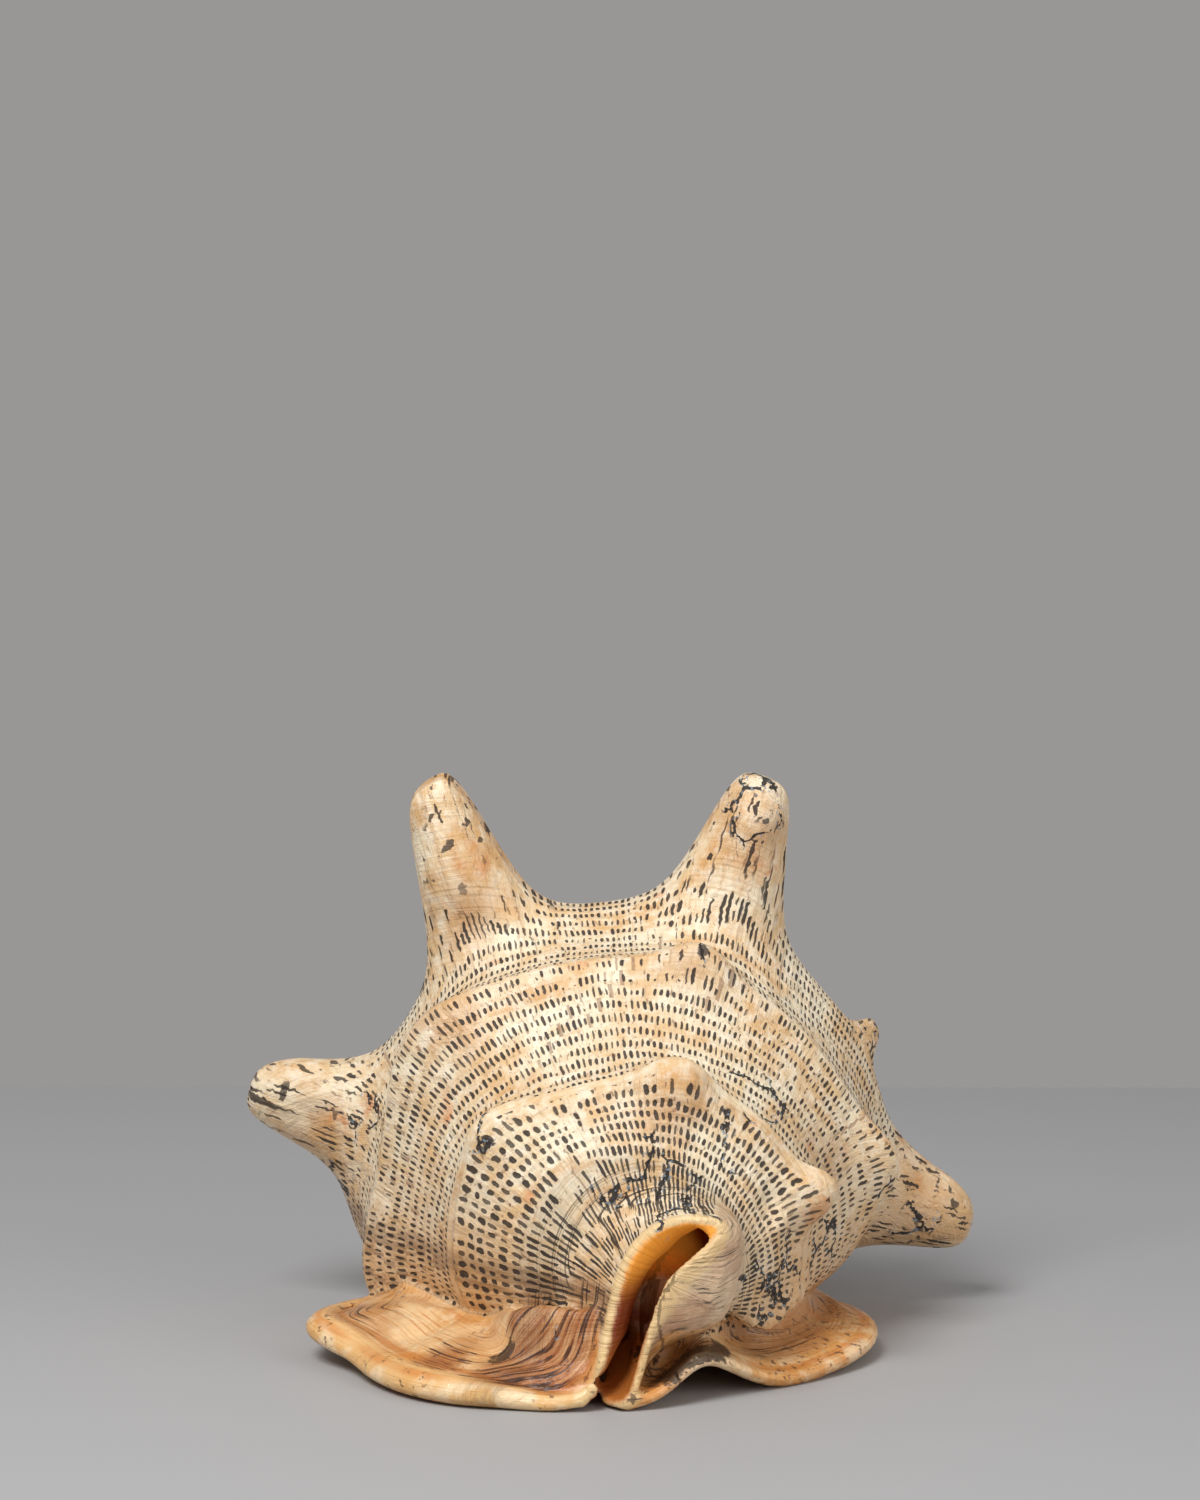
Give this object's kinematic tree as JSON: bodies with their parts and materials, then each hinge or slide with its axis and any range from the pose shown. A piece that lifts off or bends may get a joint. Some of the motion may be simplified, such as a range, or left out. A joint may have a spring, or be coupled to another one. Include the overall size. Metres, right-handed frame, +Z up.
{
  "type": "conch shell",
  "caption": "Large horned helmet conch shell that rests on its flat aperture side, with long blunt shoulder horns, a flared lip and a curled canal.",
  "frame": {"origin": "on the surface that the shell rests on, below the middle of its bounding box", "axes": "+Z up, -Y towards the front, which the canal is at, +X to the viewer's right when looking at the front"},
  "size_m": [0.2413, 0.1903, 0.1811],
  "materials": {
    "aged_shell": "satin"
  },
  "bodies": {
    "root": {"shell": "aged_shell"}
  },
  "joints": []
}
